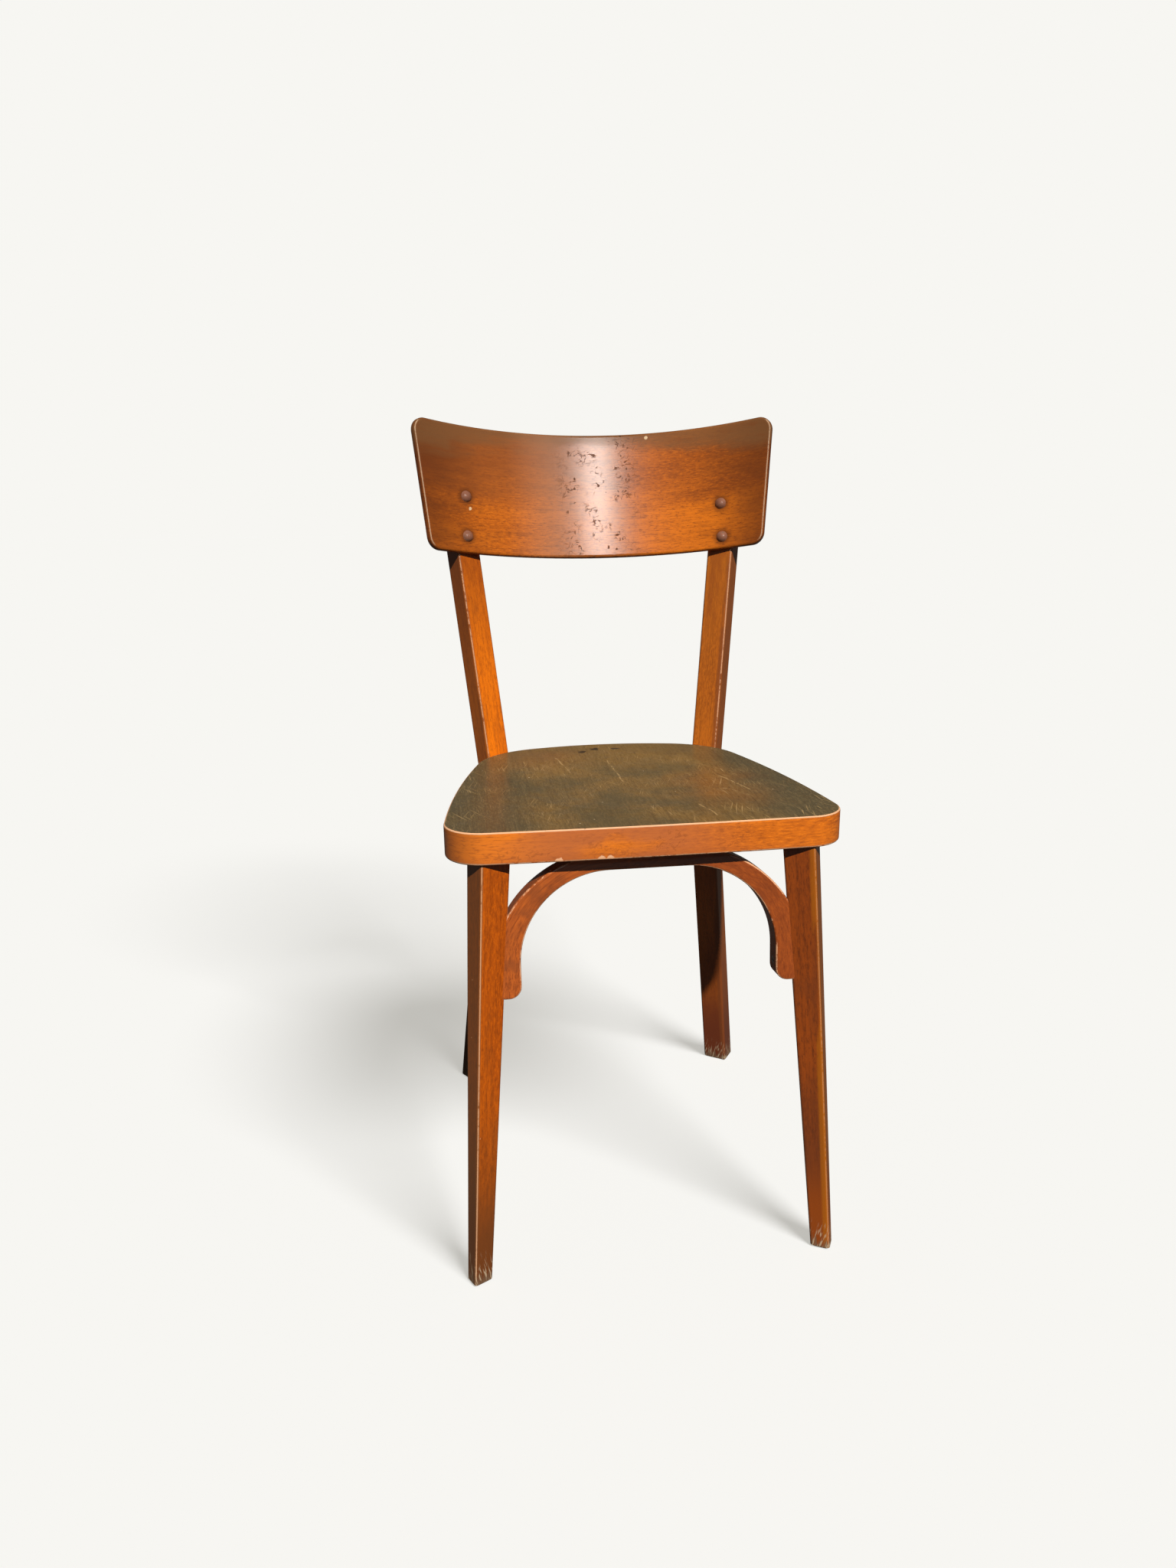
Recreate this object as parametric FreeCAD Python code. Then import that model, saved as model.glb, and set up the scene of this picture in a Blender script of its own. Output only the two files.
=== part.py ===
import FreeCAD, Part
import math
import os

from FreeCAD import Vector

# A small bistro or billiard-room chair: bent beech frame, moulded plywood seat and back.
# Millimetres. The front of the chair faces -Y, +X is the viewer's right, the floor is Z = 0.
# Right-hand pieces are modelled, and left-hand ones are their mirror images.

# Seat: plywood panel glued on a bent beech ring
seat_height = 455.0
seat_front_width = 382.0
seat_rear_width = 274.0
seat_corner_depth = 313.0
seat_front_bow = 3.5
seat_side_bow = 10.6
seat_rear_bow = 29.0
seat_front_radius = 36.0
seat_rear_radius = 90.0
panel_thickness = 5.0
panel_edge_radius = 2.0
dish_depth = 4.0
dish_margin = 10.0
ring_height = 26.0
ring_width = 44.0
ring_inner_radius = 26.0
ring_edge_radius = 2.5

# Front legs: square, tapered, splayed and turned inwards
front_leg_side_inset = 41.8
front_leg_front_inset = 22.0
front_leg_splay_out = 25.5
front_leg_splay_forward = 38.5
front_leg_toe = 28.0
front_leg_top_width = 31.3
front_leg_top_depth = 28.8
front_leg_foot_width = 19.8
front_leg_foot_depth = 16.8
front_leg_edge_radius = 3.0
foot_chamfer = 2.0
tenon_diameter = 18.0
tenon_clearance = 0.1
wedge_height = 16.0
wedge_top_thickness = 3.0
wedge_tip_thickness = 1.0

# Rear legs: one piece from the floor to the back, bent at the seat
rear_leg_toe = 35.0
rear_leg_lower_lean = 10.0
rear_leg_upper_lean = 10.2
rear_leg_side_inset = 11.0
rear_leg_let_in = 2.8
rear_leg_bend_drop = 50.0
rear_leg_width = 31.0
rear_leg_depth = 24.5
rear_leg_bend_radius = 160.0
rear_leg_knee_radius = 80.0
rear_leg_top_radius = 8.0
rear_leg_edge_radius = 3.0
rear_leg_above_rivet = 27.0
haunch_reach = 15.0
haunch_drop = 20.0
haunch_lip = 5.0

# Back: a curved plywood panel riveted to the front faces of the posts
back_thickness = 9.0
back_radius = 340.0
back_tilt = 14.0
back_edge_dip = 2.0
back_rise = 365.0
back_height = 146.0
back_top_arc = 441.0
back_bottom_arc = 404.0
back_corner_radius = 15.0
back_edge_radius = 3.0
back_bedding = 2.4
rivet_low_rise_left = 27.7
rivet_high_rise_left = 71.7
rivet_low_rise_right = 22.7
rivet_high_rise_right = 60.7
rivet_shank = 6.0
rivet_head = 13.0
rivet_head_height = 4.0
rivet_tail = 9.0
rivet_tail_height = 2.0
rivet_washer = 14.0
rivet_washer_thickness = 1.2
rivet_washer_margin = 1.0
rivet_seat_depth = 3.0

# Front arch: a bent stick between the front legs, tight under the ring
arch_thickness = 17.0
arch_leg_inset = 26.0
arch_inner_radius = 86.0
arch_outer_radius = 115.0
arch_arm_width = 28.0
arch_depth = 22.0
arch_setback = 6.0
arch_drop = 136.5
arch_end_radius = 12.0
arch_edge_radius = 2.0
screw_shank = 4.0
screw_head = 8.0
screw_head_height = 3.0
screw_slot = 1.0
screw_slot_depth = 1.2
screw_length = 32.0
end_screw_rise = 18.0
crown_screw_spacing = 110.0
crown_screw_setback = 9.0

# Rear leg bolts: one through each rear leg and the ring
bolt_diameter = 8.0
bolt_clearance = 0.1
bolt_head = 19.0
bolt_head_height = 4.5
bolt_seat_depth = 2.0
bolt_overhang = 3.0
bolt_washer = 20.0
bolt_washer_thickness = 1.6
bolt_nut_width = 13.0
bolt_nut_height = 6.5
spot_margin = 2.0
spot_depth = 4.5

# Levels and places that follow from the sizes above
ring_top = seat_height - panel_thickness
ring_bottom = ring_top - ring_height
seat_front_y = -seat_corner_depth / 2
seat_rear_y = seat_corner_depth / 2
seat_half_width_mid = (seat_front_width + seat_rear_width) / 4 + seat_side_bow
seat_half_depth = (seat_corner_depth + seat_front_bow + seat_rear_bow) / 2
dish_y = (seat_rear_bow - seat_front_bow) / 2
dish_radius = min(seat_half_width_mid, seat_half_depth) - ring_width - dish_margin
front_leg_x = seat_front_width / 2 - front_leg_side_inset
front_leg_y = seat_front_y + front_leg_front_inset
front_foot_x = front_leg_x + front_leg_splay_out
front_foot_y = front_leg_y - front_leg_splay_forward
rear_leg_bend_z = seat_height - rear_leg_bend_drop
ring_middle = (ring_bottom + ring_top) / 2
back_top_height = seat_height + back_rise
back_bottom_height = back_top_height - back_height * math.cos(math.radians(back_tilt))
rivet_heights_left = [back_bottom_height + rivet_low_rise_left, back_bottom_height + rivet_high_rise_left]
rivet_heights_right = [back_bottom_height + rivet_low_rise_right, back_bottom_height + rivet_high_rise_right]
post_top = max(rivet_heights_left + rivet_heights_right) + rear_leg_above_rivet
arch_inner_half_span = front_leg_x - arch_leg_inset
arch_end_height = ring_bottom - arch_drop
far = 2 * seat_height
bolt_reach = 3 * ring_width

UP = Vector(0, 0, 1)
ORIGIN = Vector(0, 0, 0)


def mirrored(shape):
    return shape.mirror(ORIGIN, Vector(1, 0, 0))


def group(shapes):
    return Part.makeCompound(shapes)


def rounded_profile(corners):
    """Closed wire in the XZ plane from (x, z, radius) corners, with tangent arcs at the corners."""
    count = len(corners)
    points = [Vector(x, 0, z) for x, z, radius in corners]
    arcs = []
    for i in range(count):
        here = points[i]
        radius = corners[i][2]
        to_last = (points[i - 1] - here).normalize()
        to_next = (points[(i + 1) % count] - here).normalize()
        half_angle = to_last.getAngle(to_next) / 2
        reach = radius / math.tan(half_angle)
        bisector = (to_last + to_next).normalize()
        middle = here + bisector * (radius / math.sin(half_angle) - radius)
        arcs.append((here + to_last * reach, middle, here + to_next * reach))
    edges = []
    for i in range(count):
        start, middle, end = arcs[i]
        if corners[i][2] > 0:
            edges.append(Part.Arc(start, middle, end).toShape())
        edges.append(Part.LineSegment(end, arcs[(i + 1) % count][0]).toShape())
    return Part.Wire(edges)


def vertical_edges(shape):
    found = []
    for edge in shape.Edges:
        first = edge.firstVertex().Point
        last = edge.lastVertex().Point
        if math.hypot(first.x - last.x, first.y - last.y) < 0.01 < abs(first.z - last.z):
            found.append(edge)
    return found


def seat_wire(inset):
    """Seat outline with sharp corners, bowed on all four sides, moved inwards by inset."""
    front_right = Vector(seat_front_width / 2, seat_front_y, 0)
    front_left = Vector(-seat_front_width / 2, seat_front_y, 0)
    rear_right = Vector(seat_rear_width / 2, seat_rear_y, 0)
    rear_left = Vector(-seat_rear_width / 2, seat_rear_y, 0)
    front_middle = Vector(0, seat_front_y - seat_front_bow, 0)
    rear_middle = Vector(0, seat_rear_y + seat_rear_bow, 0)
    right_middle = Vector(seat_half_width_mid, 0, 0)
    left_middle = Vector(-seat_half_width_mid, 0, 0)
    edges = [
        Part.Arc(front_left, front_middle, front_right).toShape(),
        Part.Arc(front_right, right_middle, rear_right).toShape(),
        Part.Arc(rear_right, rear_middle, rear_left).toShape(),
        Part.Arc(rear_left, left_middle, front_left).toShape(),
    ]
    wire = Part.Wire(edges)
    if inset > 0:
        wire = wire.makeOffset2D(-inset, 2)
    return wire


def seat_blank(inset, bottom, top, front_radius, rear_radius):
    """Upright block with the seat's outline and rounded corners."""
    block = Part.Face(seat_wire(inset)).extrude(UP * (top - bottom))
    block.translate(UP * bottom)
    front = [edge for edge in vertical_edges(block) if edge.firstVertex().Y < 0]
    block = block.makeFillet(front_radius, front)
    rear = [edge for edge in vertical_edges(block) if edge.firstVertex().Y > 0]
    return block.makeFillet(rear_radius, rear)


def outer_edges_at(shape, height):
    """Edges of the flat face at a height."""
    found = []
    for face in shape.Faces:
        box = face.BoundBox
        if abs(box.ZMin - height) < 0.01 and abs(box.ZMax - height) < 0.01:
            found += face.OuterWire.Edges
    return found


def dish(below):
    """Shallow round bowl whose rim lies the given distance below the seat's top."""
    return dome(2 * dish_radius, dish_depth, Vector(0, dish_y, seat_height - below), UP * -1)


def make_seat_panel():
    panel = seat_blank(0, ring_top, seat_height, seat_front_radius, seat_rear_radius)
    panel = panel.makeFillet(panel_edge_radius, outer_edges_at(panel, seat_height))
    return panel.fuse(dish(panel_thickness)).cut(dish(0)).removeSplitter()


def make_ring_blank():
    ring = seat_blank(0, ring_bottom, ring_top, seat_front_radius, seat_rear_radius)
    ring = ring.makeFillet(ring_edge_radius, outer_edges_at(ring, ring_bottom))
    low = ring_bottom - panel_thickness
    opening = seat_blank(ring_width, low, seat_height, ring_inner_radius, ring_inner_radius)
    return ring.cut(opening)


def leg_section(width, depth, x, y, z):
    """Rounded rectangle at a height, turned by the front leg's toe angle."""
    half_width = width / 2
    half_depth = depth / 2
    radius = front_leg_edge_radius
    wire = rounded_profile([
        (-half_width, -half_depth, radius),
        (half_width, -half_depth, radius),
        (half_width, half_depth, radius),
        (-half_width, half_depth, radius),
    ])
    wire.rotate(ORIGIN, Vector(1, 0, 0), -90)
    wire.rotate(ORIGIN, UP, -front_leg_toe)
    wire.translate(Vector(x, y, z))
    return wire


def front_leg_axis():
    foot = Vector(front_foot_x, front_foot_y, 0)
    top = Vector(front_leg_x, front_leg_y, ring_bottom)
    return foot, top


def make_front_leg_blank():
    foot, top = front_leg_axis()
    share = foot_chamfer / ring_bottom
    above = foot + (top - foot) * share
    toe_width = front_leg_foot_width - 2 * foot_chamfer
    toe_depth = front_leg_foot_depth - 2 * foot_chamfer
    foot_block = Part.makeLoft([
        leg_section(toe_width, toe_depth, foot.x, foot.y, 0),
        leg_section(front_leg_foot_width, front_leg_foot_depth, above.x, above.y, above.z),
    ], True, True)
    shaft = Part.makeLoft([
        leg_section(front_leg_foot_width, front_leg_foot_depth, above.x, above.y, above.z),
        leg_section(front_leg_top_width, front_leg_top_depth, top.x, top.y, top.z),
    ], True, True)
    return shaft.fuse(foot_block)


def tenon(diameter):
    """Round tenon in line with the front leg, cut level with the top of the ring."""
    foot, top = front_leg_axis()
    along = (top - foot).normalize()
    start = top - along * tenon_diameter
    rod = Part.makeCylinder(diameter / 2, tenon_diameter + 2 * ring_height, start, along)
    keep = Part.makeBox(far, far, far, Vector(-far / 2, -far / 2, ring_top - far))
    return rod.common(keep)


def make_wedge():
    """Hardwood wedge driven into the saw kerf in the top of the tenon."""
    tip = ring_top - wedge_height
    wire = rounded_profile([
        (-wedge_tip_thickness / 2, tip, 0),
        (wedge_tip_thickness / 2, tip, 0),
        (wedge_top_thickness / 2, ring_top, 0),
        (-wedge_top_thickness / 2, ring_top, 0),
    ])
    wedge = Part.Face(wire).extrude(Vector(0, 2 * tenon_diameter, 0))
    foot, top = front_leg_axis()
    lean = (top - foot) * (1 / ring_bottom)
    middle = top + lean * (ring_top - wedge_height / 2 - ring_bottom)
    wedge.translate(Vector(middle.x, middle.y - tenon_diameter, 0))
    return wedge.common(tenon(tenon_diameter))


def rear_leg_direction():
    """Level direction in which the right rear leg's back face looks."""
    toe = math.radians(rear_leg_toe)
    return Vector(math.sin(toe), math.cos(toe), 0)


def rear_leg_lines():
    """Slopes and half depths of the lower leg and the post, measured level."""
    lower_slope = math.tan(math.radians(rear_leg_lower_lean))
    upper_slope = math.tan(math.radians(rear_leg_upper_lean))
    lower_half = rear_leg_depth / 2 / math.cos(math.radians(rear_leg_lower_lean))
    upper_half = rear_leg_depth / 2 / math.cos(math.radians(rear_leg_upper_lean))
    return lower_slope, upper_slope, lower_half, upper_half


def leg_face(height):
    """Place of the rear leg's front face at a height, in the leg's own plane."""
    lower_slope, upper_slope, lower_half, upper_half = rear_leg_lines()
    if height > rear_leg_bend_z:
        return (height - rear_leg_bend_z) * upper_slope - upper_half
    return (rear_leg_bend_z - height) * lower_slope - lower_half


def find_rear_leg_bend():
    """Point over which the right rear leg bends, so that its front face is let into the seat's edge."""
    outwards = rear_leg_direction()
    corner = Vector(seat_rear_width / 2 - rear_leg_side_inset, seat_rear_y, ring_middle)
    line = Part.makeLine(corner - outwards * ring_width, corner + outwards * ring_width)
    seat = seat_blank(0, ring_bottom, ring_top, seat_front_radius, seat_rear_radius)
    edge = max((vertex.Point - corner).dot(outwards) for vertex in line.common(seat).Vertexes)
    bend = corner + outwards * (edge - rear_leg_let_in - leg_face(ring_middle))
    return Vector(bend.x, bend.y, 0)


rear_leg_bend = find_rear_leg_bend()


def rear_leg_place(shape):
    """Carries a shape from the rear leg's own plane, X backwards and Z up, to its place."""
    placed = shape.copy()
    placed.rotate(ORIGIN, UP, 90 - rear_leg_toe)
    placed.translate(rear_leg_bend)
    return placed


def plank(profile, width):
    """Flat piece with the given outline in the XZ plane, centred on that plane."""
    board = Part.Face(profile).extrude(Vector(0, width, 0))
    board.translate(Vector(0, -width / 2, 0))
    return board


def side_face_edges(board, width):
    found = []
    for face in board.Faces:
        box = face.BoundBox
        if box.YLength < 0.01 and abs(abs(box.YMin) - width / 2) < 0.01:
            found += face.OuterWire.Edges
    return found


def make_rear_leg_blank():
    lower_slope, upper_slope, lower_half, upper_half = rear_leg_lines()
    rise = post_top - rear_leg_bend_z
    gap = (lower_half - upper_half) / (lower_slope + upper_slope)
    foot = rear_leg_bend_z * lower_slope
    head = rise * upper_slope
    profile = rounded_profile([
        (foot - lower_half, 0, foot_chamfer),
        (-upper_half - gap * upper_slope, rear_leg_bend_z - gap, rear_leg_knee_radius),
        (head - upper_half, post_top, rear_leg_top_radius),
        (head + upper_half, post_top, rear_leg_top_radius),
        (upper_half + gap * upper_slope, rear_leg_bend_z + gap, rear_leg_bend_radius),
        (foot + lower_half, 0, foot_chamfer),
    ])
    leg = plank(profile, rear_leg_width)
    leg = leg.makeFillet(rear_leg_edge_radius, side_face_edges(leg, rear_leg_width))
    low = ring_bottom - haunch_drop
    nose = leg_face(ring_bottom) - haunch_reach
    haunch = plank(rounded_profile([
        (leg_face(low), low, 0),
        (nose, ring_bottom - haunch_lip, 0),
        (nose, ring_bottom, 0),
        (0, ring_bottom, 0),
        (0, low, 0),
    ]), rear_leg_width - 2 * rear_leg_edge_radius)
    return rear_leg_place(leg.fuse(haunch))


def post_front(height):
    """Middle of the post's front face at a height."""
    return rear_leg_bend + rear_leg_direction() * leg_face(height) + UP * height


def back_frame():
    """Angle of the posts round the back's axis, and where that axis meets the floor."""
    heights = rivet_heights_left + rivet_heights_right
    touch = post_front(sum(heights) / len(heights))
    tilt = math.radians(back_tilt)
    post_radius = back_radius + back_thickness - back_bedding
    angle = math.asin(touch.x / post_radius)
    reach = post_radius * math.cos(angle) + touch.z * math.sin(tilt)
    return angle, touch.y - reach / math.cos(tilt)


def back_place(shape):
    """Carries a shape from the back's own frame, Z along the axis, to its place."""
    angle, axis_y = back_frame()
    placed = shape.copy()
    placed.rotate(ORIGIN, Vector(1, 0, 0), -back_tilt)
    placed.translate(Vector(0, axis_y, 0))
    return placed


def on_back(radius, angle, height):
    return Vector(radius * math.sin(angle), radius * math.cos(angle), height)


def along_back(height, angle):
    """Station along the back's axis of a point on its front face at a height above the floor."""
    tilt = math.radians(back_tilt)
    return (height + back_radius * math.cos(angle) * math.sin(tilt)) / math.cos(tilt)


def back_front_view(top, bottom):
    """Block over the back's front view, with top and bottom edges that dip in the middle."""
    side = back_top_arc / 2
    upper_left = Vector(-side, 0, top)
    upper_right = Vector(side, 0, top)
    lower_left = Vector(-side, 0, bottom)
    lower_right = Vector(side, 0, bottom)
    outline = Part.Wire([
        Part.Arc(upper_left, Vector(0, 0, top - back_edge_dip), upper_right).toShape(),
        Part.LineSegment(upper_right, lower_right).toShape(),
        Part.Arc(lower_right, Vector(0, 0, bottom - back_edge_dip), lower_left).toShape(),
        Part.LineSegment(lower_left, upper_left).toShape(),
    ])
    return Part.Face(outline).extrude(Vector(0, 2 * back_radius, 0))


def make_back():
    top = along_back(back_top_height, 0) + back_edge_dip
    bottom = top - back_height
    base = Vector(0, 0, bottom - back_height)
    shell = Part.makeCylinder(back_radius + back_thickness, 3 * back_height, base)
    shell = shell.cut(Part.makeCylinder(back_radius, 3 * back_height, base))
    shell = shell.common(back_front_view(top, bottom))
    top_angle = back_top_arc / 2 / back_radius
    bottom_angle = back_bottom_arc / 2 / back_radius
    upper = on_back(back_radius, top_angle, top)
    lower = on_back(back_radius, bottom_angle, bottom)
    outwards = on_back(1, (top_angle + bottom_angle) / 2, 0)
    along = (upper - lower).normalize()
    across = outwards.cross(along)
    waste = Part.makeBox(far, far, far, Vector(0, -far / 2, -far / 2))
    side = FreeCAD.Placement(lower, FreeCAD.Rotation(across, outwards, along, "XZY"))
    waste.Placement = side.multiply(waste.Placement)
    shell = shell.cut(waste).cut(mirrored(waste))
    corners = [edge for edge in shell.Edges if edge.Length < 2 * back_thickness]
    shell = shell.makeFillet(back_corner_radius, corners)
    rims = []
    for face in shell.Faces:
        if face.Surface.TypeId == "Part::GeomCylinder" and face.Surface.Radius > back_corner_radius * 2:
            rims += face.OuterWire.Edges
    shell = shell.makeFillet(back_edge_radius, rims)
    return back_place(shell)


def dome(diameter, height, base, along):
    """Low dome on a flat round base, turned from an arc."""
    rim = Vector(diameter / 2, 0, 0)
    crown = Vector(0, 0, height)
    ball_radius = (rim.x ** 2 + height ** 2) / (2 * height)
    half_turn = math.asin(rim.x / ball_radius) / 2
    between = Vector(ball_radius * math.sin(half_turn), 0, height - ball_radius * (1 - math.cos(half_turn)))
    profile = Part.Wire([
        Part.LineSegment(ORIGIN, rim).toShape(),
        Part.Arc(rim, between, crown).toShape(),
        Part.LineSegment(crown, ORIGIN).toShape(),
    ])
    solid = Part.Face(profile).revolve(ORIGIN, UP, 360)
    solid.Placement = FreeCAD.Placement(base, FreeCAD.Rotation(UP, along))
    return solid


def rivet_stations():
    """Angle and station of each rivet, with its outward direction."""
    angle = back_frame()[0]
    stations = []
    for side, heights in ((-1, rivet_heights_left), (1, rivet_heights_right)):
        for height in heights:
            stations.append((side * angle, along_back(height, angle), on_back(1, side * angle, 0)))
    return stations


def rivet_seat_radius():
    """Distance from the back's axis to the flat seat of a rivet washer behind the post."""
    return back_radius + back_thickness - back_bedding + rear_leg_depth - rivet_seat_depth


def make_rivets():
    grip = rivet_seat_radius() - back_radius + rivet_washer_thickness
    rivets = []
    for angle, station, outwards in rivet_stations():
        face = on_back(back_radius, angle, station)
        head = dome(rivet_head, rivet_head_height, face, outwards * -1)
        shank = Part.makeCylinder(rivet_shank / 2, grip, face, outwards)
        tail = dome(rivet_tail, rivet_tail_height, face + outwards * grip, outwards)
        rivets.append(back_place(head.fuse(shank).fuse(tail)))
    return rivets


def rivet_disc(diameter, height):
    """Round discs standing on the washer seats behind the posts, one for each rivet."""
    discs = []
    for angle, station, outwards in rivet_stations():
        seat = on_back(rivet_seat_radius(), angle, station)
        discs.append(back_place(Part.makeCylinder(diameter / 2, height, seat, outwards)))
    return discs


def make_rivet_washers():
    discs = rivet_disc(rivet_washer, rivet_washer_thickness)
    holes = rivet_disc(rivet_shank, rivet_washer_thickness)
    return [disc.cut(hole) for disc, hole in zip(discs, holes)]


def arch_lean():
    return math.degrees(math.atan2(front_leg_splay_forward, ring_bottom))


def arch_place(shape):
    """Leans a shape with the front legs, about the line where their axes meet the ring."""
    placed = shape.copy()
    placed.translate(Vector(0, front_leg_y - arch_setback, 0))
    placed.rotate(Vector(0, front_leg_y, ring_bottom), Vector(1, 0, 0), -arch_lean())
    return placed


def make_arch_blank():
    inner = arch_inner_half_span
    outer = inner + arch_arm_width
    crown = ring_bottom - arch_thickness
    above = ring_bottom + arch_depth
    end = arch_end_height
    outline = rounded_profile([
        (-outer, end, arch_end_radius),
        (-inner, end, arch_end_radius),
        (-inner, crown, arch_inner_radius),
        (inner, crown, arch_inner_radius),
        (inner, end, arch_end_radius),
        (outer, end, arch_end_radius),
        (outer, ring_bottom, arch_outer_radius),
        (-outer, ring_bottom, arch_outer_radius),
    ])
    stick = plank(outline, arch_depth)
    stick = stick.makeFillet(arch_edge_radius, side_face_edges(stick, arch_depth))
    stick.translate(Vector(0, arch_depth / 2, 0))
    return arch_place(stick).cut(Part.makeBox(far, far, above, Vector(-far / 2, -far / 2, ring_bottom)))


def make_screw(tip, head):
    """Slotted countersunk wood screw between its tip and the middle of its flat head."""
    along = (tip - head).normalize()
    cone = Part.makeCone(screw_head / 2, screw_shank / 2, screw_head_height, head, along)
    shank = Part.makeCylinder(screw_shank / 2, screw_length - screw_shank, head, along)
    shoulder = head + along * (screw_length - screw_shank)
    point = Part.makeCone(screw_shank / 2, 0, screw_shank, shoulder, along)
    return cone.fuse(shank).fuse(point)


def slotted(screw, tip, head):
    along = (tip - head).normalize()
    slot = Part.makeBox(screw_slot, 2 * screw_head, 2 * screw_slot_depth)
    slot.translate(Vector(-screw_slot / 2, -screw_head, -screw_slot_depth))
    slot.Placement = FreeCAD.Placement(head, FreeCAD.Rotation(UP, along)).multiply(slot.Placement)
    return screw.cut(slot)


def end_screw_line():
    height = arch_end_height + end_screw_rise
    forward = front_leg_splay_forward * (ring_bottom - height) / ring_bottom
    head = Vector(arch_inner_half_span, front_leg_y - forward - arch_setback + arch_depth / 2, height)
    return head + Vector(screw_length, 0, 0), head


def crown_screw_line():
    y = front_leg_y - arch_setback + crown_screw_setback
    head = Vector(crown_screw_spacing / 2, y, ring_bottom - arch_thickness)
    return head + UP * screw_length, head


def bolt_span(leg, ring):
    """Where the bolt's line leaves the leg behind and the ring inside, from the bend outwards."""
    middle = rear_leg_bend + UP * ring_middle
    outwards = rear_leg_direction()
    line = Part.makeLine(middle - outwards * bolt_reach, middle + outwards * bolt_reach)
    through_leg = [(vertex.Point - middle).dot(outwards) for vertex in line.common(leg).Vertexes]
    through_ring = [(vertex.Point - middle).dot(outwards) for vertex in line.common(ring).Vertexes]
    near_ring = [reach for reach in through_ring if reach > -2 * ring_width]
    head_seat = max(through_leg) - bolt_seat_depth
    washer_seat = min(near_ring) + spot_depth
    return middle, outwards, head_seat, washer_seat


def make_bolt(span):
    middle, outwards, head_seat, washer_seat = span
    seat = middle + outwards * head_seat
    length = head_seat - washer_seat + bolt_washer_thickness + bolt_nut_height + bolt_overhang
    head = dome(bolt_head, bolt_head_height, seat, outwards)
    return head.fuse(Part.makeCylinder(bolt_diameter / 2, length, seat, outwards * -1))


def bolt_hole(span):
    middle, outwards, head_seat, washer_seat = span
    radius = bolt_diameter / 2 + bolt_clearance
    return Part.makeCylinder(radius, bolt_reach + ring_width, middle - outwards * bolt_reach, outwards)


def head_recess(span):
    middle, outwards, head_seat, washer_seat = span
    return Part.makeCylinder(bolt_head / 2 + spot_margin, ring_width, middle + outwards * head_seat, outwards)


def washer_recess(span):
    middle, outwards, head_seat, washer_seat = span
    seat = middle + outwards * washer_seat
    return Part.makeCylinder(bolt_washer / 2 + spot_margin, ring_width, seat, outwards * -1)


def make_bolt_washer(span):
    middle, outwards, head_seat, washer_seat = span
    seat = middle + outwards * washer_seat
    disc = Part.makeCylinder(bolt_washer / 2, bolt_washer_thickness, seat, outwards * -1)
    hole = Part.makeCylinder(bolt_diameter / 2, bolt_washer_thickness, seat, outwards * -1)
    return disc.cut(hole)


def make_bolt_nut(span):
    middle, outwards, head_seat, washer_seat = span
    seat = middle + outwards * (washer_seat - bolt_washer_thickness)
    corner_radius = bolt_nut_width / math.sqrt(3)
    corners = []
    for i in range(7):
        turn = math.radians(60 * i)
        corners.append(Vector(corner_radius * math.cos(turn), corner_radius * math.sin(turn), 0))
    nut = Part.Face(Part.makePolygon(corners)).extrude(UP * bolt_nut_height)
    nut = nut.cut(Part.makeCylinder(bolt_diameter / 2, bolt_nut_height))
    nut.Placement = FreeCAD.Placement(seat, FreeCAD.Rotation(UP, outwards * -1))
    return nut


def build():
    panel = make_seat_panel()
    ring = make_ring_blank()
    seat_block = seat_blank(0, ring_bottom, seat_height, seat_front_radius, seat_rear_radius)

    front_leg = make_front_leg_blank()
    arch = make_arch_blank().cut(front_leg).cut(mirrored(front_leg))
    wedge = make_wedge()
    front_leg = front_leg.fuse(tenon(tenon_diameter)).cut(wedge)

    back = make_back()
    rivets = make_rivets()
    rear_leg = make_rear_leg_blank().cut(seat_block)
    span = bolt_span(rear_leg, ring)
    rear_leg = rear_leg.cut(bolt_hole(span)).cut(head_recess(span))
    rivet_room = group(rivets + rivet_disc(rivet_washer + 2 * rivet_washer_margin, rear_leg_depth))
    rear_leg_right = rear_leg.cut(back).cut(rivet_room)
    rear_leg_left = mirrored(rear_leg).cut(back).cut(rivet_room)
    back = back.cut(group(rivets))

    end_tip, end_head = end_screw_line()
    crown_tip, crown_head = crown_screw_line()
    end_screw = make_screw(end_tip, end_head)
    crown_screw = make_screw(crown_tip, crown_head)
    arch = arch.cut(end_screw).cut(mirrored(end_screw)).cut(crown_screw).cut(mirrored(crown_screw))
    front_leg = front_leg.cut(end_screw)

    socket = tenon(tenon_diameter + 2 * tenon_clearance)
    for cutter in (socket, bolt_hole(span), washer_recess(span), crown_screw):
        ring = ring.cut(cutter).cut(mirrored(cutter))

    end_screw = slotted(end_screw, end_tip, end_head)
    crown_screw = slotted(crown_screw, crown_tip, crown_head)
    bolt = make_bolt(span)
    bolt_washer_piece = make_bolt_washer(span)
    nut = make_bolt_nut(span)
    return {
        "seat_panel": panel,
        "seat_ring": ring,
        "front_leg_right": front_leg,
        "front_leg_left": mirrored(front_leg),
        "front_leg_wedges": group([wedge, mirrored(wedge)]),
        "rear_leg_right": rear_leg_right,
        "rear_leg_left": rear_leg_left,
        "rear_leg_bolts": group([bolt, mirrored(bolt)]),
        "rear_leg_washers": group([bolt_washer_piece, mirrored(bolt_washer_piece)]),
        "rear_leg_nuts": group([nut, mirrored(nut)]),
        "front_arch": arch,
        "arch_end_screws": group([end_screw, mirrored(end_screw)]),
        "arch_crown_screws": group([crown_screw, mirrored(crown_screw)]),
        "backrest": back,
        "backrest_rivets": group(rivets),
        "backrest_rivet_washers": group(make_rivet_washers()),
    }


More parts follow.
